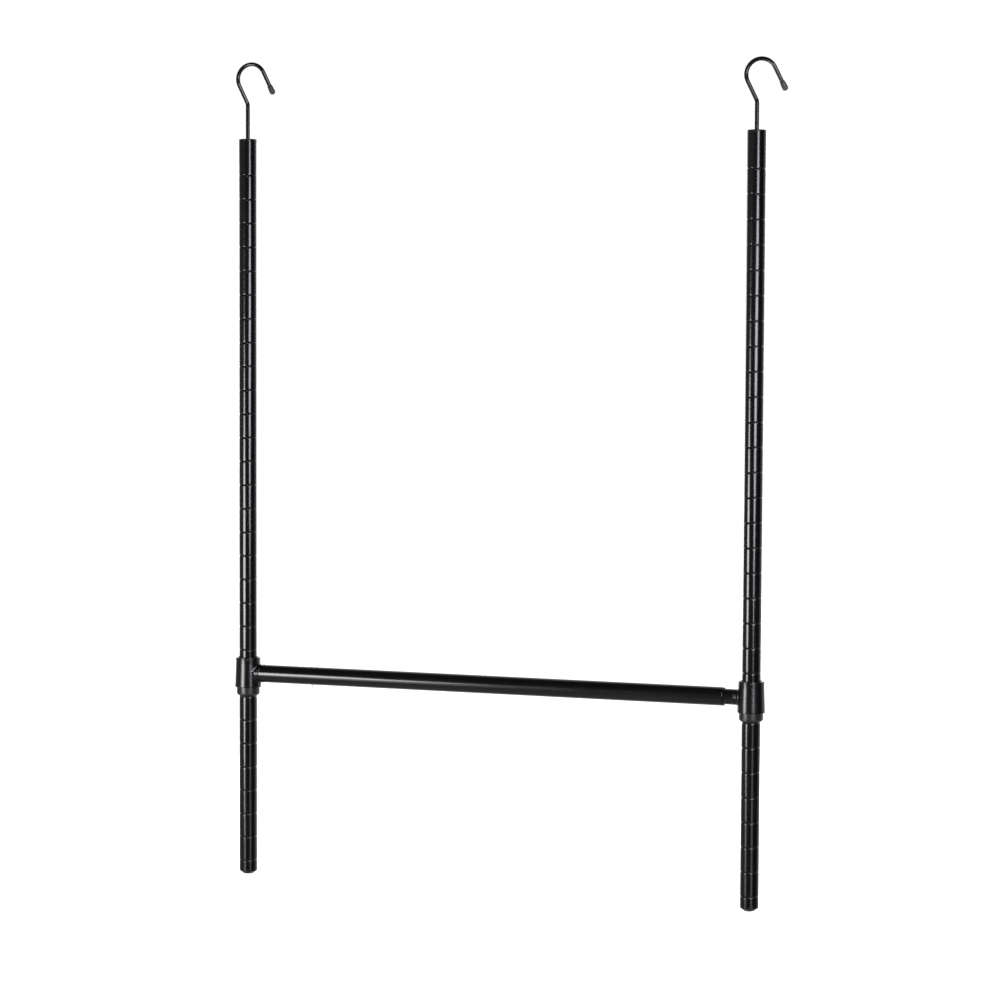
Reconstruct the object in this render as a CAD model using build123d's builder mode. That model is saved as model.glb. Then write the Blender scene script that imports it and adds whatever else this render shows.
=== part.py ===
from build123d import *

import os
from math import cos, radians, sin

# Adjustable double-hang closet rod. Two grooved posts hang by wire hooks from a closet rail and
# carry a telescoping garment bar. Millimetres. +Z is up, +X runs along the bar from the left post
# to the right one, and the origin is inside the crown of the left hook, where the rail carries it.

# ---------------------------------------------------------------- driving dimensions
POST_SPACING = 560.0  # between the post axes, with the bar in its shortest hole
POST_HEIGHT = 790.5  # crown of the top plug to the tip of the foot cap, about 31 in
POST_OD = 19.0
POST_WALL = 1.0

GROOVE_PITCH = 25.4
GROOVE_COUNT = 30
GROOVE_DROP = 38.9  # first groove below the crown of the top plug
GROOVE_DEPTH = 0.45
GROOVE_WIDTH = 1.8
BAR_GROOVE = 21  # the groove, counted from 0 at the top, that carries the bar

PLUG_HEAD = 2.4
PLUG_ROUND = 1.3
PLUG_DEPTH = 12.0
INSERT_PLAY = 0.05  # radial play of a plug or cap shank in the post
FOOT_HEIGHT = 5.4
FOOT_BEVEL_UP = 3.4
FOOT_BEVEL_IN = 4.3
FOOT_ROUND = 0.9
FOOT_DEPTH = 14.0
FOOT_CORE_R = 6.0
FOOT_FLOOR = 4.0

WIRE_D = 4.4
HOOK_R = 15.6  # centre line of the crown
HOOK_LEAN = 26.6  # degrees between the straights and the vertical
HOOK_OFFSET = 4.2  # crown centre beside the shank, which puts the load over the post
HOOK_RISE = 63.6  # crown centre above the top plug, with the shank fully out
HOOK_SUNK = {"left": 0.0, "right": 8.4}  # how far each shank stands pushed into its plug
HOOK_BEND_R = 9.0
HOOK_TAIL = 26.5  # straight after the crown, tip included
TIP_D = 6.2
TIP_LENGTH = 10.5
TIP_CAP = 2.0
TIP_ROUND = 2.9
SHANK_PLAY = 0.05
WASHER_D = 11.0
WASHER_T = 1.0
RIVET_D = 7.0
RIVET_T = 1.4
RIVET_ROUND = 0.8

COLLAR_TOP_R = 13.0
COLLAR_BOTTOM_R = 14.15
COLLAR_RISE = 17.2  # above the bar's axis
COLLAR_DROP = 15.2  # below the bar's axis
COLLAR_WALL = 1.75
COLLAR_ROUND = 0.6
COLLAR_LIP_ROUND = 1.1  # outer edge of the top rim
WEDGE_GAP = 0.1  # radial, between collar and sleeve
SLEEVE_RISE = 16.0
SLEEVE_DROP = 23.9
SLEEVE_BEVEL = 1.7
SLEEVE_PARTING = 0.4
SLEEVE_PLAY = 0.05
RIDGE_DEPTH = 0.35
RIDGE_WIDTH = 1.4

OUTER_OD = 19.0
OUTER_WALL = 1.0
OUTER_END_GAP = 28.0  # from the outer tube's open end to the right post's axis
OUTER_END_ROUND = 0.5
INNER_OD = 16.0
INNER_WALL = 1.0
INNER_START = 48.0  # inner tube's free end, right of the left post's axis
BUSH_PLAY = 0.05
BUSH_LENGTH = 14.0
BUSH_INSET = 1.5
GLIDE_SHANK = 8.0
GLIDE_FLANGE = 3.0
WELD_LEG = 1.8
WELD_CHAMFER = 1.5

BUTTON_AT = 74.2  # button axis, right of the left post's axis
BUTTON_D = 4.8
BUTTON_OUT = 4.6  # proud of the outer tube's underside
BUTTON_ROUND = 1.8
BUTTON_FLANGE_D = 6.4
BUTTON_FLANGE_T = 0.6
HOLE_D = 5.2
HOLE_PITCH = 50.8
HOLE_COUNT = 7
SPRING_T = 0.6
SPRING_WIDTH = 8.0
SPRING_R = 5.3
SPRING_PAST_BUTTON = 12.0
SPRING_BEFORE_BUTTON = 12.0

# ---------------------------------------------------------------- derived places
POST_R = POST_OD / 2
WIRE_R = WIRE_D / 2
POST_X = {"left": -HOOK_OFFSET, "right": POST_SPACING - HOOK_OFFSET}
CROWN_Z = WIRE_R - HOOK_R
POST_TOP = CROWN_Z - HOOK_RISE
TUBE_TOP = POST_TOP - PLUG_HEAD
POST_BOTTOM = POST_TOP - POST_HEIGHT
TUBE_BOTTOM = POST_BOTTOM + FOOT_HEIGHT
GROOVE_Z = [POST_TOP - GROOVE_DROP - k * GROOVE_PITCH for k in range(GROOVE_COUNT)]
BAR_Z = GROOVE_Z[BAR_GROOVE]
INSERT_R = POST_R - POST_WALL - INSERT_PLAY
COLLAR_FLARE = (COLLAR_BOTTOM_R - COLLAR_TOP_R) / (COLLAR_RISE + COLLAR_DROP)


def collar_radius(height):
    """Outer radius of the tapered collar at a height above the bar's axis."""
    return COLLAR_TOP_R + (COLLAR_RISE - height) * COLLAR_FLARE


def collar_cone(extra=0):
    """Half section of the solid cone that the collar's outside lies on, grown by extra."""
    return [
        (0, COLLAR_RISE),
        (COLLAR_TOP_R + extra, COLLAR_RISE),
        (COLLAR_BOTTOM_R + extra, -COLLAR_DROP),
        (0, -COLLAR_DROP),
    ]


def arc_radius(depth, width):
    """Radius of a round groove or ridge from its depth and its width at the surface."""
    return (width**2 / 4 + depth**2) / (2 * depth)


def level(x, z):
    """Horizontal plane centred on (x, 0, z)."""
    return Plane((x, 0, z))


def upright(x, z=0):
    """Vertical plane facing the front: sketch x is the distance from x, sketch y the height above z."""
    return Plane(origin=(x, 0, z), x_dir=(1, 0, 0), z_dir=(0, -1, 0))


def across(x):
    """Plane square to the bar, centred on its axis."""
    return Plane(origin=(x, 0, BAR_Z), x_dir=(0, 1, 0), z_dir=(1, 0, 0))


def vertical_axis(x):
    return Axis((x, 0, 0), (0, 0, 1))


def save(piece, label):
    piece.part.label = label
    export_step(piece.part, f"parts/{label}.step")


os.makedirs("parts", exist_ok=True)

for side, post_x in POST_X.items():
    axis = vertical_axis(post_x)

    # Post: a tube with rolled grooves, one every inch.
    groove_r = arc_radius(GROOVE_DEPTH, GROOVE_WIDTH)
    with BuildPart() as post:
        with BuildSketch(level(post_x, TUBE_BOTTOM)):
            Circle(POST_R)
            Circle(POST_R - POST_WALL, mode=Mode.SUBTRACT)
        extrude(amount=TUBE_TOP - TUBE_BOTTOM)
        with BuildSketch(upright(post_x)):
            with Locations(*[(POST_R + groove_r - GROOVE_DEPTH, z) for z in GROOVE_Z]):
                Circle(groove_r)
        revolve(axis=axis, mode=Mode.SUBTRACT)
    save(post, f"{side}_post")

    # Top plug: a rounded head flush with the post, a shank inside it, and the hook's bore.
    with BuildPart() as top_plug:
        with BuildSketch(level(post_x, TUBE_TOP)):
            Circle(POST_R)
        extrude(amount=PLUG_HEAD)
        fillet(top_plug.edges().group_by(Axis.Z)[-1], radius=PLUG_ROUND)
        with BuildSketch(level(post_x, TUBE_TOP)):
            Circle(INSERT_R)
        extrude(amount=-PLUG_DEPTH)
        with Locations((post_x, 0, POST_TOP)):
            Hole(radius=WIRE_R + SHANK_PLAY)
    save(top_plug, f"{side}_top_plug")

    # Foot cap: a bevelled plastic foot with a cored shank in the post.
    foot_outline = [
        (0, POST_BOTTOM),
        (POST_R - FOOT_BEVEL_IN, POST_BOTTOM),
        (POST_R, POST_BOTTOM + FOOT_BEVEL_UP),
        (POST_R, TUBE_BOTTOM),
        (INSERT_R, TUBE_BOTTOM),
        (INSERT_R, TUBE_BOTTOM + FOOT_DEPTH),
        (FOOT_CORE_R, TUBE_BOTTOM + FOOT_DEPTH),
        (FOOT_CORE_R, POST_BOTTOM + FOOT_FLOOR),
        (0, POST_BOTTOM + FOOT_FLOOR),
    ]
    with BuildPart() as foot_cap:
        with BuildSketch(upright(post_x)):
            with BuildLine():
                Polyline(*foot_outline, close=True)
            make_face()
        revolve(axis=axis)
        foot_rings = foot_cap.edges().filter_by(GeomType.CIRCLE).group_by(Axis.Z)
        fillet(foot_rings[0] + foot_rings[1], radius=FOOT_ROUND)
    save(foot_cap, f"{side}_foot_cap")

    # Hook: one bent wire. The shank runs down through the plug to a riveted end below a washer.
    lean = radians(HOOK_LEAN)
    crown = Vector(HOOK_OFFSET, CROWN_Z - HOOK_SUNK[side])
    tail_way = Vector(sin(lean), -cos(lean))
    crown_arm = Vector(cos(lean), sin(lean)) * HOOK_R
    arc_start = crown - crown_arm
    arc_end = crown + crown_arm
    corner = arc_start + tail_way * ((HOOK_R * cos(lean) - HOOK_OFFSET) / sin(lean))
    tail_end = arc_end + tail_way * (HOOK_TAIL - TIP_CAP)
    washer_top = TUBE_TOP - PLUG_DEPTH - SHANK_PLAY - HOOK_SUNK[side]
    shank_end = washer_top - WASHER_T
    shank_path = [(0, shank_end), (corner.X, corner.Y), (arc_start.X, arc_start.Y)]
    with BuildPart() as hook:
        with BuildLine(upright(post_x)) as bent_wire:
            FilletPolyline(*shank_path, radius=HOOK_BEND_R)
            ThreePointArc((arc_start.X, arc_start.Y), (crown.X, crown.Y + HOOK_R), (arc_end.X, arc_end.Y))
            Line((arc_end.X, arc_end.Y), (tail_end.X, tail_end.Y))
        with BuildSketch(level(post_x, shank_end)):
            Circle(WIRE_R)
        sweep(path=bent_wire.wire())
        with BuildSketch(level(post_x, shank_end)):
            Circle(RIVET_D / 2)
        extrude(amount=-RIVET_T)
        fillet(hook.edges().group_by(Axis.Z)[0], radius=RIVET_ROUND)
    save(hook, f"{side}_hook")

    # Washer: lies loose on the riveted end, and the post hangs on it.
    with BuildPart() as washer:
        with BuildSketch(level(post_x, shank_end)):
            Circle(WASHER_D / 2)
            Circle(WIRE_R, mode=Mode.SUBTRACT)
        extrude(amount=WASHER_T)
    save(washer, f"{side}_hook_washer")

    # Tip: a soft cap dipped over the hook's free end.
    mouth = tail_end - tail_way * (TIP_LENGTH - TIP_CAP)
    tip_way = (tail_way.X, 0, tail_way.Y)
    tip_mouth = Plane(origin=(post_x + mouth.X, 0, mouth.Y), x_dir=(0, 1, 0), z_dir=tip_way)
    with BuildPart() as hook_tip:
        with BuildSketch(tip_mouth):
            Circle(TIP_D / 2)
        extrude(amount=TIP_LENGTH)
        tip_axis = Axis(tip_mouth.origin, tip_mouth.z_dir)
        fillet(hook_tip.faces().sort_by(tip_axis)[-1].edges(), radius=TIP_ROUND)
        with BuildSketch(tip_mouth):
            Circle(WIRE_R)
        extrude(amount=TIP_LENGTH - TIP_CAP, mode=Mode.SUBTRACT)
    save(hook_tip, f"{side}_hook_tip")

    # Collar: a tapered ring, welded to the bar, that wedges on the sleeve and slips over the post.
    collar_outline = [
        (COLLAR_TOP_R - COLLAR_WALL, COLLAR_RISE),
        (COLLAR_TOP_R, COLLAR_RISE),
        (COLLAR_BOTTOM_R, -COLLAR_DROP),
        (COLLAR_BOTTOM_R - COLLAR_WALL, -COLLAR_DROP),
    ]
    with BuildPart() as collar:
        with BuildSketch(upright(post_x, BAR_Z)) as collar_wall:
            with BuildLine():
                Polyline(*collar_outline, close=True)
            make_face()
            fillet(collar_wall.vertices().group_by(Axis.Y)[0], radius=COLLAR_ROUND)
            fillet(collar_wall.vertices().sort_by(Axis.Y)[-2:].sort_by(Axis.X)[0], radius=COLLAR_ROUND)
            fillet(collar_wall.vertices().group_by(Axis.Y)[-1].sort_by(Axis.X)[-1], radius=COLLAR_LIP_ROUND)
        revolve(axis=axis)
    save(collar, f"{side}_collar")

    # Sleeve: two plastic halves round the post, with a ridge that snaps into one groove.
    sleeve_play = COLLAR_WALL + WEDGE_GAP
    bore_r = POST_R + SLEEVE_PLAY
    skirt_r = collar_radius(-COLLAR_DROP) - sleeve_play
    sleeve_outline = [
        (bore_r, SLEEVE_RISE),
        (collar_radius(SLEEVE_RISE) - sleeve_play, SLEEVE_RISE),
        (skirt_r, -COLLAR_DROP),
        (skirt_r, SLEEVE_BEVEL - SLEEVE_DROP),
        (skirt_r - SLEEVE_BEVEL, -SLEEVE_DROP),
        (bore_r, -SLEEVE_DROP),
    ]
    ridge_r = arc_radius(RIDGE_DEPTH, RIDGE_WIDTH)
    parting_height = 2 * (SLEEVE_RISE + SLEEVE_DROP)
    for half, turn in (("front", -180), ("back", 180)):
        with BuildPart() as sleeve:
            with BuildSketch(upright(post_x, BAR_Z)):
                with BuildLine():
                    Polyline(*sleeve_outline, close=True)
                make_face()
                with Locations((bore_r + ridge_r - RIDGE_DEPTH, 0)):
                    Circle(ridge_r)
            revolve(axis=axis, revolution_arc=turn)
            with Locations((post_x, 0, BAR_Z)):
                Box(2 * POST_OD, SLEEVE_PARTING, parting_height, mode=Mode.SUBTRACT)
        save(sleeve, f"{side}_sleeve_{half}")

    # Weld: a fillet bead where the bar's tube meets the collar.
    tube_r = (OUTER_OD if side == "left" else INNER_OD) / 2
    inward = 1 if side == "left" else -1
    with BuildPart() as weld:
        with BuildSketch(upright(post_x, BAR_Z)):
            with BuildLine():
                Polyline(*collar_cone(WELD_LEG), close=True)
            make_face()
        revolve(axis=axis)
        with BuildSketch(across(post_x)):
            Circle(tube_r + WELD_LEG)
        extrude(amount=inward * POST_OD, mode=Mode.INTERSECT)
        chamfer(weld.edges().sort_by(Axis.X)[-1 if inward > 0 else 0], length=WELD_CHAMFER)
        with BuildSketch(upright(post_x, BAR_Z)):
            with BuildLine():
                Polyline(*collar_cone(), close=True)
            make_face()
        revolve(axis=axis, mode=Mode.SUBTRACT)
        with BuildSketch(across(post_x)):
            Circle(tube_r)
        extrude(amount=inward * POST_OD, mode=Mode.SUBTRACT)
    save(weld, f"{side}_weld_bead")

left_x = POST_X["left"]
right_x = POST_X["right"]
outer_end = right_x - OUTER_END_GAP
inner_start = left_x + INNER_START
button_x = left_x + BUTTON_AT

# Outer tube: coped to the left collar, with a row of button holes along its underside.
with BuildPart() as outer_tube:
    with BuildSketch(across(left_x)):
        Circle(OUTER_OD / 2)
    extrude(amount=outer_end - left_x)
    fillet(outer_tube.edges().sort_by(Axis.X)[-1], radius=OUTER_END_ROUND)
    with BuildSketch(across(left_x)):
        Circle(OUTER_OD / 2 - OUTER_WALL)
    extrude(amount=outer_end - left_x, mode=Mode.SUBTRACT)
    with BuildSketch(level(button_x, BAR_Z)):
        with Locations(*[(k * HOLE_PITCH, 0) for k in range(HOLE_COUNT)]):
            Circle(HOLE_D / 2)
    extrude(amount=-OUTER_OD, mode=Mode.SUBTRACT)
    with BuildSketch(upright(left_x, BAR_Z)):
        with BuildLine():
            Polyline(*collar_cone(), close=True)
        make_face()
    revolve(axis=vertical_axis(left_x), mode=Mode.SUBTRACT)
save(outer_tube, "bar_outer_tube")

# Inner tube: slides in the outer one and is coped to the right collar.
with BuildPart() as inner_tube:
    with BuildSketch(across(inner_start)):
        Circle(INNER_OD / 2)
        Circle(INNER_OD / 2 - INNER_WALL, mode=Mode.SUBTRACT)
    extrude(amount=right_x - inner_start)
    with BuildSketch(level(button_x, BAR_Z)):
        Circle(HOLE_D / 2)
    extrude(amount=-INNER_OD, mode=Mode.SUBTRACT)
    with BuildSketch(upright(right_x, BAR_Z)):
        with BuildLine():
            Polyline(*collar_cone(), close=True)
        make_face()
    revolve(axis=vertical_axis(right_x), mode=Mode.SUBTRACT)
save(inner_tube, "bar_inner_tube")

# Bush: a thin plastic liner in the outer tube's open end, which the inner tube runs in.
with BuildPart() as bush:
    with BuildSketch(across(outer_end - BUSH_INSET)):
        Circle(OUTER_OD / 2 - OUTER_WALL)
        Circle(INNER_OD / 2 + BUSH_PLAY, mode=Mode.SUBTRACT)
    extrude(amount=-BUSH_LENGTH)
save(bush, "bar_end_bush")

# Glide: a plastic plug in the inner tube's free end, whose flange runs in the outer tube.
with BuildPart() as glide:
    with BuildSketch(across(inner_start)):
        Circle(OUTER_OD / 2 - OUTER_WALL - BUSH_PLAY)
    extrude(amount=-GLIDE_FLANGE)
    with BuildSketch(across(inner_start)):
        Circle(INNER_OD / 2 - INNER_WALL)
    extrude(amount=GLIDE_SHANK)
save(glide, "bar_inner_glide")

# Snap button: a domed pin on the hairpin spring, out through both tubes.
pin_top = BAR_Z - SPRING_R + SPRING_T / 2
pin_bottom = BAR_Z - OUTER_OD / 2 - BUTTON_OUT
with BuildPart() as button:
    with BuildSketch(level(button_x, pin_bottom)):
        Circle(BUTTON_D / 2)
    extrude(amount=pin_top - pin_bottom)
    fillet(button.edges().group_by(Axis.Z)[0], radius=BUTTON_ROUND)
    with BuildSketch(level(button_x, pin_top)):
        Circle(BUTTON_FLANGE_D / 2)
    extrude(amount=BUTTON_FLANGE_T)
save(button, "snap_button")

# Hairpin spring inside the inner tube, bearing on its top and bottom walls.
leg_start = -SPRING_BEFORE_BUTTON
leg_end = SPRING_PAST_BUTTON
with BuildPart() as spring:
    with BuildSketch(upright(button_x, BAR_Z)):
        with BuildLine():
            Line((leg_end, -SPRING_R), (leg_start, -SPRING_R))
            ThreePointArc((leg_start, -SPRING_R), (leg_start - SPRING_R, 0), (leg_start, SPRING_R))
            Line((leg_start, SPRING_R), (leg_end, SPRING_R))
        trace(line_width=SPRING_T)
    extrude(amount=SPRING_WIDTH / 2, both=True)
    with BuildSketch(level(button_x, BAR_Z)):
        Circle(BUTTON_D / 2 + SHANK_PLAY)
    extrude(amount=-SPRING_R * 2, mode=Mode.SUBTRACT)
save(spring, "snap_spring")
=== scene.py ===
import math

import bmesh
import bpy
from mathutils import Matrix, Vector, noise


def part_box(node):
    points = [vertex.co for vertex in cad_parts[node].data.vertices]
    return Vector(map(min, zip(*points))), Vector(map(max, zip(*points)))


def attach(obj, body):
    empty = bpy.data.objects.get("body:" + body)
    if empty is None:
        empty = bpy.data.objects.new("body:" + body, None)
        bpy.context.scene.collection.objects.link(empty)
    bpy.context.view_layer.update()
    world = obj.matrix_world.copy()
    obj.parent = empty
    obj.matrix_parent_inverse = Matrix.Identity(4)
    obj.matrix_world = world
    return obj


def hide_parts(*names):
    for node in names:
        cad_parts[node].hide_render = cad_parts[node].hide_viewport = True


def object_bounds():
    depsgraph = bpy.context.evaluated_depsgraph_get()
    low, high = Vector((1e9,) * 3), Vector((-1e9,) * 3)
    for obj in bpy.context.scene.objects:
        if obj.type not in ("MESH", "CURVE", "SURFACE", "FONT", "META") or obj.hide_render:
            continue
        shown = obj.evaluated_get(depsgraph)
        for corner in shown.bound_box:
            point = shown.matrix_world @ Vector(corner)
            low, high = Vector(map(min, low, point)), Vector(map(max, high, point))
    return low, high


# Adjustable double-hang closet rod: grooved black posts on wire hooks, with a telescoping garment
# bar between them. Metres, in the CAD frame: +X along the bar, +Z up, -Y to the front.

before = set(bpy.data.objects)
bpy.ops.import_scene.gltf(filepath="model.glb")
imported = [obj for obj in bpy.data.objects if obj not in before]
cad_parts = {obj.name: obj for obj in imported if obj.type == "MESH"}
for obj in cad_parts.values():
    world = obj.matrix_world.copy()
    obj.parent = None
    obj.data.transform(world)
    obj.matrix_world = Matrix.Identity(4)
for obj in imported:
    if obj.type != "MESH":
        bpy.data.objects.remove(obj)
cad_low, cad_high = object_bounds()
MM = 0.001
SIDES = ("left", "right")
ROUND = 96  # facets round a tube
SHARP = 38  # degrees past which an edge is left sharp

# ---------------------------------------------------------------- sizes shared with the CAD
TUBE_WALL = 1.0 * MM
GROOVE_COUNT = 30
GROOVE_PITCH = 25.4 * MM
GROOVE_DROP = 38.9 * MM  # first groove below the crown of the top plug
GROOVE_DEPTH = 0.32 * MM  # of the pinched valley, 0.4 mm to each side
GROOVE_SAG = 0.12 * MM  # of the soft shoulders, 1 mm to each side
PLUG_HEAD = 2.4 * MM
PLUG_BORE_R = 2.25 * MM
FOOT_HEIGHT = 5.4 * MM
FOOT_BEVEL_UP = 3.4 * MM
FOOT_BEVEL_IN = 4.3 * MM
COLLAR_TOP_R = 13.0 * MM
COLLAR_BOTTOM_R = 14.15 * MM
COLLAR_WALL = 1.75 * MM
WEDGE_GAP = 0.1 * MM
SLEEVE_BEVEL = 1.7 * MM
WIRE_R = 2.2 * MM
HOOK_R = 15.6 * MM
HOOK_LEAN = math.radians(26.6)
HOOK_BEND_R = 9.0 * MM
HOOK_TAIL = 26.5 * MM  # tip included
TIP_LENGTH = 10.5 * MM
TIP_CAP = 2.0 * MM  # of the tip, past the end of the wire
TIP_R = 3.1 * MM
WELD_LEG = 1.8 * MM
WELD_RIDGES = (5.6 * MM, 3.5 * MM)  # of the low ridges on the tube, from the collar's side
HOLE_R = 2.6 * MM
HOLE_PITCH = 50.8 * MM
HOLE_COUNT = 7
BUTTON_R = 2.4 * MM
BUTTON_FLANGE_R = 3.2 * MM
BUTTON_FLANGE_T = 0.6 * MM

# ---------------------------------------------------------------- facets and steps of the meshes
GROOVE_STEPS = 11  # to each side of a groove
GROOVE_FINENESS = 5  # steps in a millimetre of a groove
GROOVE_PINCH = 0.4  # half width of the pinched valley, in millimetres
WIRE_FACETS = 32
BEND_STEPS = 8
CROWN_STEPS = 48
DOME_STEPS = 8
SLEEVE_FACETS = 64
WELD_FACETS = 160
WELD_STEPS = 10
TUBE_SPANS = 24  # lengths that the outer tube's skin is divided into
SPAN = 21 * MM


# ---------------------------------------------------------------- places from the frame
def middle(node):
    low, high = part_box(node)
    return (low + high) / 2


def heights(node):
    low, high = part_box(node)
    return low.z, high.z


POST = {side: middle(f"{side}_post") for side in SIDES}
POST_R = (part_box("left_post")[1].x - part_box("left_post")[0].x) / 2
BAR_Z = middle("bar_outer_tube").z
COLLAR_LOW, COLLAR_HIGH = heights("left_collar")
OUTER_R = (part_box("bar_outer_tube")[1].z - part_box("bar_outer_tube")[0].z) / 2
INNER_R = (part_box("bar_inner_tube")[1].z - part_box("bar_inner_tube")[0].z) / 2
BUTTON = middle("snap_button")


def collar_radius(z):
    """Outer radius of the tapered collar at height z."""
    share = (COLLAR_HIGH - z) / (COLLAR_HIGH - COLLAR_LOW)
    return COLLAR_TOP_R + (COLLAR_BOTTOM_R - COLLAR_TOP_R) * share


# ---------------------------------------------------------------- mesh tools
def soften(outline, radius, steps=5, closed=True):
    """The outline with its corners rounded. radius is one number or one for each corner."""
    radii = radius if isinstance(radius, (list, tuple)) else [radius] * len(outline)
    points = [Vector(p) for p in outline]
    made = []
    for i, point in enumerate(points):
        at_end = not closed and i in (0, len(points) - 1)
        if at_end or radii[i] <= 0:
            made.append(tuple(point))
            continue
        before = points[i - 1] - point
        after = points[(i + 1) % len(points)] - point
        half = before.angle(after) / 2
        reach = radii[i] / math.tan(half)
        most = 0.48 * min(before.length, after.length)
        reach = min(reach, most)
        size = reach * math.tan(half)
        inward = (before.normalized() + after.normalized()).normalized()
        centre = point + inward * (size / math.sin(half))
        first = point + before.normalized() * reach - centre
        last = point + after.normalized() * reach - centre
        for k in range(steps + 1):
            arm = first.slerp(last, k / steps)
            made.append(tuple(centre + arm.normalized() * size))
    return made


def braced(outline, closed, near=0.5 * MM):
    """The outline with a point near both ends of each long run, so that corners shade only there."""
    made = []
    afters = outline[1:] + outline[:1] if closed else outline[1:]
    for here, after in zip(outline, afters):
        made.append(here)
        run = Vector(after) - Vector(here)
        if run.length > 4 * near:
            step = run.normalized() * near
            made.append(tuple(Vector(here) + step))
            made.append(tuple(Vector(after) - step))
    return made if closed else made + outline[-1:]


def circle(radius, place, facets=ROUND):
    """Points of a circle, where place(u, v) puts a point of the plane into space."""
    turns = [2 * math.pi * j / facets for j in range(facets)]
    return [place(radius * math.cos(a), radius * math.sin(a)) for a in turns]


def mesh_of(name, rings, joined=True, closed_rings=True, sharp=SHARP):
    """A closed mesh skinned over rings of points. joined links the last ring to the first."""
    bm = bmesh.new()
    rows = [[bm.verts.new(p) for p in ring] for ring in rings]
    pairs = list(zip(rows, rows[1:]))
    if joined:
        pairs.append((rows[-1], rows[0]))
    count = len(rows[0])
    across = range(count if closed_rings else count - 1)
    for low, high in pairs:
        for j in across:
            k = (j + 1) % count
            bm.faces.new((low[j], low[k], high[k], high[j]))
    if joined and not closed_rings:
        bm.faces.new([row[0] for row in rows])
        bm.faces.new([row[-1] for row in reversed(rows)])
    bmesh.ops.remove_doubles(bm, verts=bm.verts, dist=1e-7)
    bmesh.ops.recalc_face_normals(bm, faces=bm.faces)
    return finished_mesh(name, bm, sharp)


def finished_mesh(name, bm, sharp):
    """Turns the bmesh into a mesh, smooth but for edges sharper than the given degrees."""
    limit = math.radians(sharp)
    for face in bm.faces:
        face.smooth = True
    for edge in bm.edges:
        edge.smooth = len(edge.link_faces) == 2 and edge.calc_face_angle(0) < limit
    mesh = bpy.data.meshes.new(name)
    bm.to_mesh(mesh)
    bm.free()
    return mesh


def turned(name, outline, x, joined=True, facets=ROUND, sharp=SHARP):
    """The (radius, height) outline turned about the vertical axis through (x, 0)."""
    rings = []
    for r, z in braced(outline, joined):
        rings.append(circle(r, lambda u, v: Vector((x + u, v, z)), facets))
    return mesh_of(name, rings, joined, sharp=sharp)


def turned_along(name, outline, origin, direction, joined=False, facets=48, sharp=SHARP):
    """The (radius, distance) outline turned about the line from origin in that direction."""
    basis = direction.to_track_quat("Z", "Y").to_matrix()
    rings = []
    for r, t in braced(outline, joined):
        rings.append(circle(r, lambda u, v: origin + basis @ Vector((u, v, t)), facets))
    return mesh_of(name, rings, joined, sharp=sharp)


def show(mesh, material, body, slot, *nodes):
    """Puts the mesh in the scene in place of CAD nodes, on a body, with its material."""
    piece = bpy.data.objects.new(mesh.name, mesh)
    bpy.context.scene.collection.objects.link(piece)
    mesh.materials.append(material)
    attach(piece, body)
    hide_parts(*nodes)
    return piece


# ---------------------------------------------------------------- materials
class Shader:
    """A material's node tree with a Principled BSDF, and the few node types that they share."""

    def __init__(self, name, **fixed):
        self.material = bpy.data.materials.new(name)
        self.material.use_nodes = True
        self.nodes = self.material.node_tree.nodes
        self.links = self.material.node_tree.links
        self.surface = self.nodes["Principled BSDF"]
        self.place = self.nodes.new("ShaderNodeTexCoord").outputs["Object"]
        for socket, value in fixed.items():
            self.surface.inputs[socket].default_value = value

    def grain(self, scale, detail=2.0, roughness=0.5, stretch=None):
        """A noise pattern, with scale in features per metre, stretched along an axis."""
        pattern = self.nodes.new("ShaderNodeTexNoise")
        pattern.inputs["Scale"].default_value = scale
        pattern.inputs["Detail"].default_value = detail
        pattern.inputs["Roughness"].default_value = roughness
        place = self.place
        if stretch:
            mapping = self.nodes.new("ShaderNodeMapping")
            mapping.inputs["Scale"].default_value = stretch
            self.links.new(place, mapping.inputs["Vector"])
            place = mapping.outputs["Vector"]
        self.links.new(place, pattern.inputs["Vector"])
        return pattern.outputs["Fac"]

    def spread(self, factor, low, high):
        """The middle of a noise pattern spread over low to high."""
        mapping = self.nodes.new("ShaderNodeMapRange")
        mapping.inputs["From Min"].default_value = 0.3
        mapping.inputs["From Max"].default_value = 0.7
        mapping.inputs["To Min"].default_value = low
        mapping.inputs["To Max"].default_value = high
        self.links.new(factor, mapping.inputs["Value"])
        return mapping.outputs["Result"]

    def tint(self, factor, dark, light):
        """Colours the surface between dark and light by a pattern."""
        ramp = self.nodes.new("ShaderNodeValToRGB")
        ramp.color_ramp.elements[0].position = 0.3
        ramp.color_ramp.elements[1].position = 0.7
        ramp.color_ramp.elements[0].color = (*dark, 1)
        ramp.color_ramp.elements[1].color = (*light, 1)
        self.links.new(factor, ramp.inputs["Fac"])
        self.links.new(ramp.outputs["Color"], self.surface.inputs["Base Color"])

    def shine(self, factor, low, high):
        self.links.new(self.spread(factor, low, high), self.surface.inputs["Roughness"])

    def relief(self, *layers):
        """Bumps of (pattern, height in metres), each on top of the one before."""
        normal = None
        for factor, height in layers:
            bump = self.nodes.new("ShaderNodeBump")
            bump.inputs["Strength"].default_value = 1.0
            bump.inputs["Distance"].default_value = height
            self.links.new(factor, bump.inputs["Height"])
            if normal:
                self.links.new(normal, bump.inputs["Normal"])
            normal = bump.outputs["Normal"]
        self.links.new(normal, self.surface.inputs["Normal"])


def powder_coat(name, smooth, rough, peel):
    """Black powder coat: orange peel, fine pits, and a faint haze from handling."""
    coat = Shader(name, IOR=1.46)
    coat.tint(coat.grain(26, 4), (0.0010, 0.0010, 0.0012), (0.0018, 0.0018, 0.0020))
    coat.shine(coat.grain(18, 1), smooth, rough)
    coat.relief((coat.grain(260, 2), peel), (coat.grain(1400, 1), peel * 0.08))
    return coat.material


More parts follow.
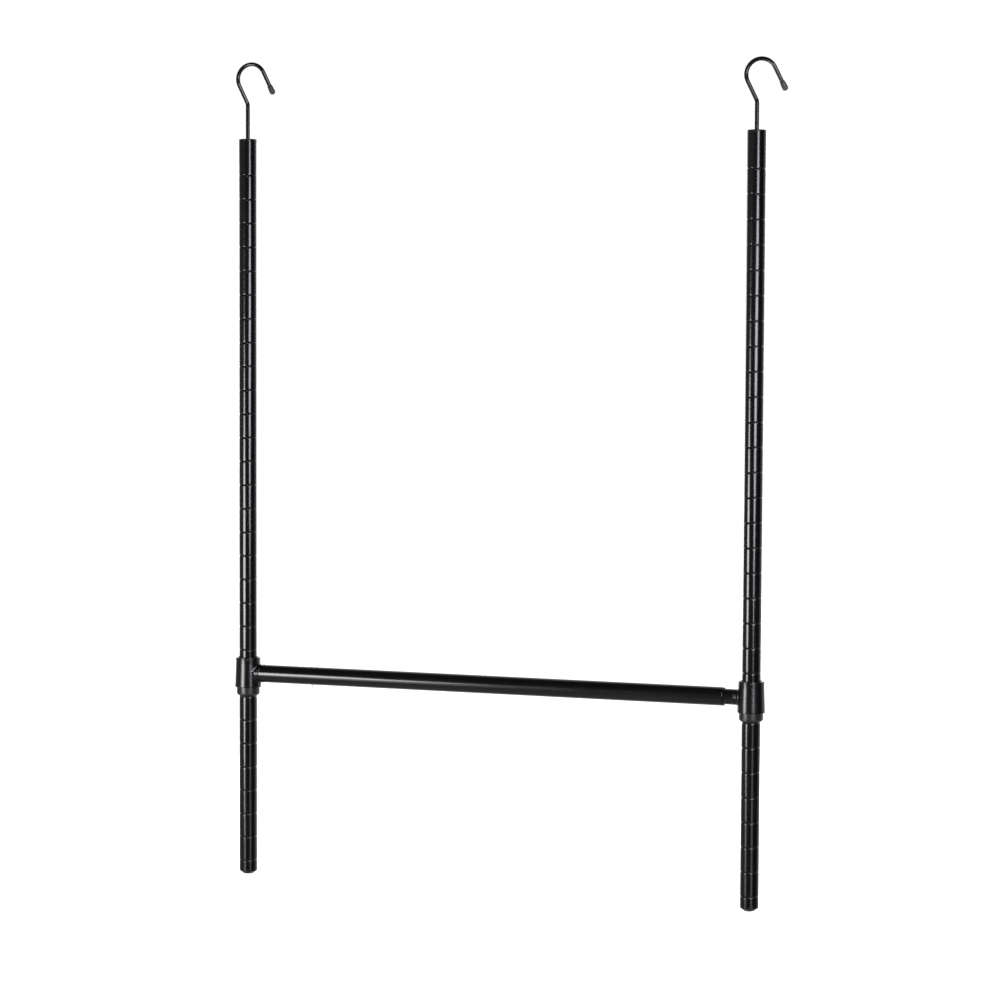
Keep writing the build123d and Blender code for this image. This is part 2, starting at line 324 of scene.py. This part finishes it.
def satin_plastic(name, dark, light, smooth, rough, texture):
    """Moulded plastic: a fine spark-eroded texture and slow flow marks."""
    plastic = Shader(name, IOR=1.49)
    plastic.tint(plastic.grain(70, 5, 0.6), dark, light)
    plastic.shine(plastic.grain(160, 4), smooth, rough)
    plastic.relief((plastic.grain(2800, 2), texture), (plastic.grain(120, 2), texture * 2))
    return plastic.material


def plated(name, colour_low, colour_high, smooth, rough, stretch, metallic=1.0):
    """Plated or rolled metal with drawn lines along one axis."""
    metal = Shader(name, Metallic=metallic)
    lines = metal.grain(900, 3, 0.6, stretch)
    metal.tint(metal.grain(240, 4), colour_low, colour_high)
    metal.shine(lines, smooth, rough)
    metal.relief((lines, 0.000004))
    return metal.material


MATERIALS = {
    "powder_coat": powder_coat("powder_coat_gloss_black", 0.16, 0.19, 0.0000008),
    "collar_coat": powder_coat("powder_coat_satin_black", 0.22, 0.25, 0.0000012),
    "weld_coat": powder_coat("powder_coat_over_weld", 0.15, 0.22, 0.000004),
    "coated_wire": powder_coat("wire_coat_black", 0.16, 0.20, 0.0000004),
    "black_plastic": satin_plastic(
        "satin_black_plastic", (0.0012, 0.0012, 0.0013), (0.0022, 0.0022, 0.0024), 0.19, 0.26, 0.0000006
    ),
    "sleeve_plastic": satin_plastic(
        "sleeve_plastic", (0.005, 0.005, 0.0053), (0.008, 0.008, 0.0084), 0.30, 0.38, 0.0000015
    ),
    "vinyl_dip": satin_plastic(
        "vinyl_dip", (0.010, 0.010, 0.0105), (0.018, 0.018, 0.0185), 0.32, 0.5, 0.000002
    ),
    "nickel": plated("bright_nickel", (0.76, 0.76, 0.74), (0.88, 0.88, 0.86), 0.16, 0.28, (1, 1, 8), 0.4),
    "spring_steel": plated("spring_steel", (0.30, 0.30, 0.31), (0.42, 0.42, 0.43), 0.25, 0.4, (0.1, 1, 1)),
    "zinc_steel": plated("zinc_plate", (0.5, 0.51, 0.53), (0.62, 0.63, 0.66), 0.28, 0.45, (1, 1, 1)),
}


# ---------------------------------------------------------------- pieces at each post
def grooved_post(side):
    """A tube with rolled grooves: each is a smooth valley with rounded lips."""
    low, high = heights(f"{side}_post")
    crown = high + PLUG_HEAD
    outer = [(POST_R, low)]
    for k in reversed(range(GROOVE_COUNT)):
        centre = crown - GROOVE_DROP - k * GROOVE_PITCH
        for step in range(-GROOVE_STEPS, GROOVE_STEPS + 1):
            away = step / GROOVE_FINENESS
            valley = GROOVE_DEPTH * math.exp(-((away / GROOVE_PINCH) ** 2))
            depth = valley + GROOVE_SAG * math.exp(-away * away)
            outer.append((POST_R - depth, centre + away * MM))
    outer.append((POST_R, high))
    inner = [(POST_R - TUBE_WALL, high), (POST_R - TUBE_WALL, low)]
    mesh = turned(f"{side}_post_tube", outer + inner, POST[side].x)
    show(mesh, MATERIALS["powder_coat"], f"{side}_post", "powder_coat", f"{side}_post")


def top_plug(side):
    """A rounded head with the hook's bore, on a shank that goes down into the post."""
    low, high = heights(f"{side}_top_plug")
    neck = high - PLUG_HEAD
    seam = 0.12 * MM
    shank_r = POST_R - TUBE_WALL
    outline = [
        (PLUG_BORE_R, low),
        (shank_r, low),
        (shank_r, neck - 0.02 * MM),
        (POST_R - seam, neck),
        (POST_R, neck + seam * 1.5),
        (POST_R, high),
        (PLUG_BORE_R, high),
    ]
    outline = soften(outline, [0, 0.3 * MM, 0, 0, 0.1 * MM, 1.35 * MM, 0.35 * MM], 8)
    mesh = turned(f"{side}_plug", outline, POST[side].x)
    show(mesh, MATERIALS["black_plastic"], f"{side}_post", "black_plastic", f"{side}_top_plug")


def foot_cap(side):
    """A bevelled moulded foot whose shank is pressed into the post."""
    low, high = heights(f"{side}_foot_cap")
    shoulder = low + FOOT_HEIGHT
    seam = 0.15 * MM
    shank_r = POST_R - TUBE_WALL
    outline = [
        (0, low + 0.35 * MM),
        (2.2 * MM, low + 0.35 * MM),
        (2.7 * MM, low),
        (POST_R - FOOT_BEVEL_IN, low),
        (POST_R, low + FOOT_BEVEL_UP),
        (POST_R, shoulder - seam * 1.5),
        (POST_R - seam, shoulder),
        (shank_r, shoulder),
        (shank_r, high),
        (0, high),
    ]
    radii = [0, 0.2 * MM, 0.2 * MM, 1.6 * MM, 1.6 * MM, 0.1 * MM, 0, 0, 0.5 * MM, 0]
    mesh = turned(f"{side}_foot", soften(outline, radii, 6, closed=False), POST[side].x, joined=False)
    show(mesh, MATERIALS["black_plastic"], f"{side}_post", "black_plastic", f"{side}_foot_cap")


def collar(side):
    """The tapered ring that the bar is welded to: a rolled rim over an upright neck."""
    body = "bar_left" if side == "left" else "bar_right"
    neck_end = COLLAR_HIGH - 6.5 * MM
    neck_r = collar_radius(neck_end) - 0.02 * MM
    outline = [
        (COLLAR_TOP_R - COLLAR_WALL, COLLAR_HIGH),
        (neck_r + 0.05 * MM, COLLAR_HIGH),
        (neck_r + 0.05 * MM, COLLAR_HIGH - 1.4 * MM),
        (neck_r - 0.12 * MM, COLLAR_HIGH - 1.8 * MM),
        (neck_r, COLLAR_HIGH - 2.2 * MM),
        (neck_r, neck_end),
        (COLLAR_BOTTOM_R, COLLAR_LOW),
        (COLLAR_BOTTOM_R - COLLAR_WALL, COLLAR_LOW),
    ]
    radii = [0.5 * MM, 1.1 * MM, 0.4 * MM, 0.3 * MM, 0.4 * MM, 30 * MM, 0.7 * MM, 0.5 * MM]
    outline = soften(outline, radii, 8)
    mesh = turned(f"{side}_collar_ring", outline, POST[side].x, facets=128, sharp=60)
    show(mesh, MATERIALS["collar_coat"], body, "powder_coat", f"{side}_collar")


def sleeve(side, half):
    """Half of the split sleeve: a tapered shell whose skirt shows below the collar."""
    node = f"{side}_sleeve_{half}"
    low, high = heights(node)
    taken = COLLAR_WALL + WEDGE_GAP
    skirt_r = collar_radius(COLLAR_LOW) - taken
    bore_r = POST_R + 0.05 * MM
    outline = [
        (bore_r, high),
        (collar_radius(high) - taken, high),
        (skirt_r, COLLAR_LOW),
        (skirt_r, low + SLEEVE_BEVEL),
        (skirt_r - SLEEVE_BEVEL, low),
        (bore_r, low),
    ]
    outline = soften(outline, [0, 0.4 * MM, 0, 0.7 * MM, 0.25 * MM, 0], 6)
    parting = 0.2 * MM
    start = math.asin(parting / bore_r) + (math.pi if half == "front" else 0)
    sweep = math.pi - 2 * math.asin(parting / bore_r)
    rings = []
    for r, z in outline:
        turns = [start + sweep * j / SLEEVE_FACETS for j in range(SLEEVE_FACETS + 1)]
        rings.append([Vector((POST[side].x + r * math.cos(a), r * math.sin(a), z)) for a in turns])
    mesh = mesh_of(f"{side}_sleeve_half_{half}", rings, closed_rings=False)
    show(mesh, MATERIALS["sleeve_plastic"], f"{side}_post", "sleeve_plastic", node)


def hook_path(side):
    """Centre line of the wire, from the plug up round the crown to the tail, with its tangents."""
    low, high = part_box(f"{side}_hook")
    x = POST[side].x
    crown = Vector((low.x + HOOK_R + WIRE_R, 0, high.z - HOOK_R - WIRE_R))
    tail_way = Vector((math.sin(HOOK_LEAN), 0, -math.cos(HOOK_LEAN)))
    arm = Vector((math.cos(HOOK_LEAN), 0, math.sin(HOOK_LEAN))) * HOOK_R
    arc_start, arc_end = crown - arm, crown + arm
    corner = arc_start + tail_way * ((x - arc_start.x) / tail_way.x)
    reach = HOOK_BEND_R * math.tan(HOOK_LEAN / 2)
    points = [Vector((x, 0, low.z)), Vector((x, 0, corner.z - reach))]
    bend_centre = Vector((x - HOOK_BEND_R, 0, corner.z - reach))
    for k in range(1, BEND_STEPS + 1):
        a = HOOK_LEAN * k / BEND_STEPS
        points.append(bend_centre + Vector((math.cos(a), 0, math.sin(a))) * HOOK_BEND_R)
    points.append(arc_start)
    for k in range(1, CROWN_STEPS):
        a = math.pi + HOOK_LEAN - math.pi * k / CROWN_STEPS
        points.append(crown + Vector((math.cos(a), 0, math.sin(a))) * HOOK_R)
    points.append(arc_end)
    points.append(arc_end + tail_way * (HOOK_TAIL - TIP_CAP))
    return points, tail_way


def hook(side):
    """The bent wire and the soft tip dipped over its end."""
    points, tail_way = hook_path(side)
    rings = []
    for i, point in enumerate(points):
        before = points[max(i - 1, 0)]
        after = points[min(i + 1, len(points) - 1)]
        along = (after - before).normalized()
        outward = along.cross(Vector((0, 1, 0)))
        rings.append(circle(WIRE_R, lambda u, v: point + outward * u + Vector((0, v, 0)), WIRE_FACETS))
    rings.insert(0, [points[0]] * WIRE_FACETS)
    rings.append([points[-1]] * WIRE_FACETS)
    wire = mesh_of(f"{side}_hook_wire", rings, joined=False)
    show(wire, MATERIALS["coated_wire"], f"{side}_hook", "coated_wire", f"{side}_hook")
    end = points[-1] + tail_way * TIP_CAP
    mouth = end - tail_way * TIP_LENGTH
    dome = TIP_R - 0.2 * MM
    outline = [
        (0, 0.3 * MM),
        (WIRE_R - 0.1 * MM, 0.0),
        (WIRE_R + 0.3 * MM, 0.1 * MM),
        (TIP_R - 0.45 * MM, 0.8 * MM),
        (TIP_R - 0.15 * MM, 3.0 * MM),
        (TIP_R, TIP_LENGTH - dome),
    ]
    for k in range(1, DOME_STEPS + 1):
        a = math.pi / 2 * k / DOME_STEPS
        outline.append((TIP_R * math.cos(a), TIP_LENGTH - dome + dome * math.sin(a)))
    tip = turned_along(f"{side}_hook_dip", outline, mouth, tail_way)
    show(tip, MATERIALS["vinyl_dip"], f"{side}_hook", "vinyl_dip", f"{side}_hook_tip")


# ---------------------------------------------------------------- the bar
def saddle(side, y, z):
    """Where the collar's outside stands, along X, at (y, z) across the bar."""
    r = collar_radius(BAR_Z + z)
    reach = math.sqrt(max(r * r - y * y, 0))
    return POST[side].x + (reach if side == "left" else -reach)


def bar_ring(radius, x):
    """A ring round the bar's axis. x is a number, or a side whose collar the ring lies on."""
    ring = []
    for y, z in circle(radius, lambda u, v: (u, v)):
        at = saddle(x, y, z) if isinstance(x, str) else x
        ring.append(Vector((at, y, BAR_Z + z)))
    return ring


def drilled(mesh, places, radius):
    """Holes through the lower wall, cut with a boolean, keeping the tube's round shading."""
    bm = bmesh.new()
    for x in places:
        cut = Matrix.Translation((x, 0, BAR_Z - OUTER_R))
        bmesh.ops.create_cone(
            bm,
            cap_ends=True,
            segments=48,
            radius1=radius,
            radius2=radius,
            depth=2 * OUTER_R - 4 * MM,
            matrix=cut,
        )
    cutter = bpy.data.objects.new("hole_cutter", finished_mesh("hole_cutter", bm, SHARP))
    tube = bpy.data.objects.new("drilled_tube", mesh)
    for piece in (cutter, tube):
        bpy.context.scene.collection.objects.link(piece)
    boolean = tube.modifiers.new("holes", "BOOLEAN")
    boolean.operation = "DIFFERENCE"
    boolean.solver = "EXACT"
    boolean.object = cutter
    bpy.context.view_layer.update()
    graph = bpy.context.evaluated_depsgraph_get()
    result = bpy.data.meshes.new_from_object(tube.evaluated_get(graph))
    for piece in (cutter, tube):
        bpy.data.objects.remove(piece)
    result.name = mesh.name
    return result


def outer_tube():
    """The bar's outer tube: coped to the left collar, with a rounded open end and a hole row."""
    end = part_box("bar_outer_tube")[1].x
    bore = OUTER_R - TUBE_WALL
    rings = [bar_ring(OUTER_R, "left")]
    for count in range(1, TUBE_SPANS):
        rings.append(bar_ring(OUTER_R, POST["left"].x + COLLAR_BOTTOM_R + count * SPAN))
    lip = 0.9 * MM
    rings.append(bar_ring(OUTER_R, end - 3 * lip))
    for k in range(6):
        a = math.pi / 2 * k / 5
        rings.append(bar_ring(OUTER_R - lip + lip * math.cos(a), end - lip + lip * math.sin(a)))
    rings.append(bar_ring(bore, end))
    rings.append(bar_ring(bore, POST["left"].x + COLLAR_BOTTOM_R + 4 * MM))
    rings.append(bar_ring(bore, "left"))
    mesh = mesh_of("outer_bar_tube", rings)
    mesh = drilled(mesh, [BUTTON.x + k * HOLE_PITCH for k in range(HOLE_COUNT)], HOLE_R)
    show(mesh, MATERIALS["powder_coat"], "bar_left", "powder_coat", "bar_outer_tube")


def inner_tube():
    """The bar's inner tube, from its hidden end to the right collar."""
    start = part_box("bar_inner_tube")[0].x
    near = POST["right"].x - COLLAR_BOTTOM_R - 4 * MM
    bore = INNER_R - TUBE_WALL
    rings = [bar_ring(INNER_R, start), bar_ring(INNER_R, near), bar_ring(INNER_R, "right")]
    rings += [bar_ring(bore, "right"), bar_ring(bore, near), bar_ring(bore, start)]
    mesh = drilled(mesh_of("inner_bar_tube", rings), [BUTTON.x], HOLE_R)
    show(mesh, MATERIALS["powder_coat"], "bar_right", "powder_coat", "bar_inner_tube")


def weld_bead(side, tube_r, body):
    """A rippled fillet between the collar's side and the tube, and two low ridges on the tube."""
    way = 1 if side == "left" else -1
    rings = []
    for centre in WELD_RIDGES:
        for k in range(-4, 5):
            ring = []
            for j in range(WELD_FACETS):
                a = 2 * math.pi * j / WELD_FACETS
                swell = 0.3 * MM * (1 + 0.5 * noise.noise(Vector((4 * a, centre * 900, 3.1))))
                r = tube_r - 0.06 * MM + swell * (1 - k * k / 16)
                y, z = r * math.cos(a), r * math.sin(a)
                along = centre - k * 0.2 * MM
                ring.append(Vector((saddle(side, y, z) + way * along, y, BAR_Z + z)))
            rings.append(ring)
    for k in range(WELD_STEPS + 1):
        share = k / WELD_STEPS
        ring = []
        for j in range(WELD_FACETS):
            a = 2 * math.pi * j / WELD_FACETS
            ripple = 1 + 0.2 * math.sin(a * 24) + 0.2 * noise.noise(Vector((3 * a, share, tube_r * 900)))
            leg = WELD_LEG * ripple
            out = leg * (1 - math.cos(math.pi / 2 * share)) ** 1.15
            along = leg * (1 - math.sin(math.pi / 2 * share)) ** 1.15
            r = tube_r + out
            y, z = r * math.cos(a), r * math.sin(a)
            ring.append(Vector((saddle(side, y, z) + way * along, y, BAR_Z + z)))
        rings.append(ring)
    root = []
    for j in range(WELD_FACETS):
        a = 2 * math.pi * j / WELD_FACETS
        y, z = tube_r * math.cos(a), tube_r * math.sin(a)
        root.append(Vector((saddle(side, y, z) - way * 0.3 * MM, y, BAR_Z + z)))
    rings.append(root)
    mesh = mesh_of(f"{side}_weld", rings, sharp=75)
    show(mesh, MATERIALS["weld_coat"], body, "powder_coat", f"{side}_weld_bead")


def snap_button():
    """The domed pin that stands out under the bar, with its flange on the spring's leg."""
    low, high = heights("snap_button")
    ledge = high - BUTTON_FLANGE_T
    outline = [
        (0, low),
        (BUTTON_R, low),
        (BUTTON_R, ledge),
        (BUTTON_FLANGE_R, ledge),
        (BUTTON_FLANGE_R, high),
        (0, high),
    ]
    outline = soften(outline, [0, 1.9 * MM, 0.1 * MM, 0.15 * MM, 0.15 * MM, 0], 10, closed=False)
    mesh = turned("button_pin", outline, BUTTON.x, joined=False, facets=64)
    show(mesh, MATERIALS["nickel"], "snap_button", "nickel", "snap_button")


for side in SIDES:
    grooved_post(side)
    top_plug(side)
    foot_cap(side)
    collar(side)
    sleeve(side, "front")
    sleeve(side, "back")
    hook(side)
outer_tube()
inner_tube()
weld_bead("left", OUTER_R, "bar_left")
weld_bead("right", INNER_R, "bar_right")
snap_button()

# CAD nodes that keep their own shape: they sit inside the tubes.
for node, slot in (
    ("left_hook_washer", "zinc_steel"),
    ("right_hook_washer", "zinc_steel"),
    ("bar_end_bush", "black_plastic"),
    ("bar_inner_glide", "black_plastic"),
    ("snap_spring", "spring_steel"),
):
    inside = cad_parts[node]
    inside.data.materials.clear()
    inside.data.materials.append(MATERIALS[slot])


# ---------------------------------------------------------------- studio
BAND_REACH = 5  # from the hooks to the middle of the band that lights them
BAND_TURN = math.radians(22)  # lays the band along the line that the hooks' straights reflect
FLOOR_DROP = 0.12
FLOOR_R = 6.0


def softbox(name, place, aim, width, height, radiance):
    """A rectangular soft light that the camera doesn't see."""
    light = bpy.data.lights.new(name, "AREA")
    light.shape = "RECTANGLE"
    light.size = width
    light.size_y = height
    light.energy = radiance * math.pi * width * height
    lamp = bpy.data.objects.new(name, light)
    lamp.location = place
    lamp.rotation_euler = (Vector(aim) - Vector(place)).to_track_quat("-Z", "Z").to_euler()
    lamp.visible_camera = False
    bpy.context.scene.collection.objects.link(lamp)
    return lamp


def graded(nodes, links, value, start, end, low, high):
    """A smooth step of a value: low where it is start, high where it is end."""
    step = nodes.new("ShaderNodeMapRange")
    step.interpolation_type = "SMOOTHSTEP"
    step.inputs["From Min"].default_value = start
    step.inputs["From Max"].default_value = end
    step.inputs["To Min"].default_value = low
    step.inputs["To Max"].default_value = high
    links.new(value, step.inputs["Value"])
    return step.outputs["Result"]


def joint(nodes, links, operation, first, second):
    """Two values joined by one arithmetic operation."""
    node = nodes.new("ShaderNodeMath")
    node.operation = operation
    links.new(first, node.inputs[0])
    links.new(second, node.inputs[1])
    return node.outputs["Value"]


def surround(nodes, links):
    """White for the camera. Surfaces reflect a dim room: pale below, to the left and behind."""
    place = nodes.new("ShaderNodeTexCoord").outputs["Generated"]
    split = nodes.new("ShaderNodeSeparateXYZ")
    links.new(place, split.inputs["Vector"])
    right, back, up = split.outputs
    below = graded(nodes, links, up, -0.15, -0.75, 0.0, 0.42)
    front_share = graded(nodes, links, back, 0.8, -0.8, 0.25, 0.8)
    floor_part = joint(nodes, links, "MULTIPLY", below, front_share)
    beside = graded(nodes, links, right, 0.3, -0.8, 0.04, 0.28)
    low_share = graded(nodes, links, up, 0.1, 0.8, 1.0, 0.35)
    side_part = joint(nodes, links, "MULTIPLY", beside, low_share)
    wall_part = graded(nodes, links, back, 0.3, 0.65, 0.0, 0.8)
    total = joint(nodes, links, "ADD", joint(nodes, links, "ADD", floor_part, side_part), wall_part)
    room = nodes.new("ShaderNodeBackground")
    room.inputs["Color"].default_value = (0.97, 0.97, 1.0, 1)
    links.new(total, room.inputs["Strength"])
    backdrop = nodes.new("ShaderNodeBackground")
    backdrop.inputs["Color"].default_value = (1, 1, 1, 1)
    backdrop.inputs["Strength"].default_value = 1.05
    ray = nodes.new("ShaderNodeLightPath")
    mix = nodes.new("ShaderNodeMixShader")
    out = nodes.new("ShaderNodeOutputWorld")
    links.new(ray.outputs["Is Camera Ray"], mix.inputs["Fac"])
    links.new(room.outputs["Background"], mix.inputs[1])
    links.new(backdrop.outputs["Background"], mix.inputs[2])
    links.new(mix.outputs["Shader"], out.inputs["Surface"])


def studio():
    """A pale floor, an even white surround, soft boxes in front and behind, and a slanted band."""
    centre = (cad_low + cad_high) / 2
    left = POST["left"].x
    softbox("key_left", (left - 0.655, -1.35, -0.66), (centre.x, 0, -0.66), 0.61, 0.56, 17.5)
    softbox("fill_low_left", (left - 0.49, -1.45, -1.15), (centre.x, 0, -0.8), 0.4, 0.4, 3.0)
    softbox("fill_low_right", (left + 1.6, -1.3, -1.15), (centre.x, 0, -0.8), 0.62, 0.5, 1.8)
    key_right = softbox("key_right", (left + 1.525, -1.34, -0.28), (centre.x, 0, -0.3), 0.62, 0.80, 15.5)
    key_right.data.color = (0.93, 0.91, 1.0)
    hooks = Vector((centre.x, 0, -0.03))
    away = Vector((0.5, -0.69, 0.52))
    band = softbox("key_hooks", hooks + BAND_REACH * away, hooks, 6.0, 0.9, 8.5)
    band.rotation_euler = away.to_track_quat("Z", "Y").to_euler()
    band.rotation_euler.rotate_axis("Z", BAND_TURN)
    softbox("rear_middle", (centre.x, 1.8, -0.4), centre, 0.45, 0.9, 5.0)
    softbox("rear_left", (centre.x - 1.2, 1.34, -0.4), centre, 0.45, 0.9, 5.0)

    bm = bmesh.new()
    bmesh.ops.create_circle(bm, cap_ends=True, segments=96, radius=FLOOR_R)
    floor = bpy.data.objects.new("floor", finished_mesh("floor", bm, SHARP))
    floor.location = (centre.x, 0, cad_low.z - FLOOR_DROP)
    floor.visible_glossy = False
    bpy.context.scene.collection.objects.link(floor)
    paper = Shader("floor_paper", Roughness=0.9)
    paper.tint(paper.grain(3, 2), (0.86, 0.86, 0.86), (0.9, 0.9, 0.9))
    paper.surface.inputs["Emission Color"].default_value = (1, 1, 1, 1)
    paper.surface.inputs["Emission Strength"].default_value = 1.0
    floor.data.materials.append(paper.material)

    world = bpy.data.worlds.new("studio")
    bpy.context.scene.world = world
    world.use_nodes = True
    world.node_tree.nodes.clear()
    surround(world.node_tree.nodes, world.node_tree.links)
    bpy.context.scene.view_settings.view_transform = "Standard"


def camera():
    """A long lens from the front right, a little above the middle of the object and aimed below it."""
    azimuth = math.radians(19.99)
    elevation = math.radians(3.53)
    roll = math.radians(0.26)
    distance = 3.037
    aim = (cad_low + cad_high) / 2 + Vector((-0.0007, 0, -0.0238))
    level = math.cos(elevation)
    back = Vector((math.sin(azimuth) * level, -math.cos(azimuth) * level, math.sin(elevation)))
    lens = bpy.data.cameras.new("camera")
    lens.lens = 105.0
    lens.sensor_width = 36.0
    viewer = bpy.data.objects.new("camera", lens)
    turn = Matrix.Rotation(azimuth, 4, "Z") @ Matrix.Rotation(math.pi / 2 - elevation, 4, "X")
    viewer.matrix_world = Matrix.Translation(aim + back * distance) @ turn @ Matrix.Rotation(roll, 4, "Z")
    bpy.context.scene.collection.objects.link(viewer)
    bpy.context.scene.camera = viewer


studio()
camera()
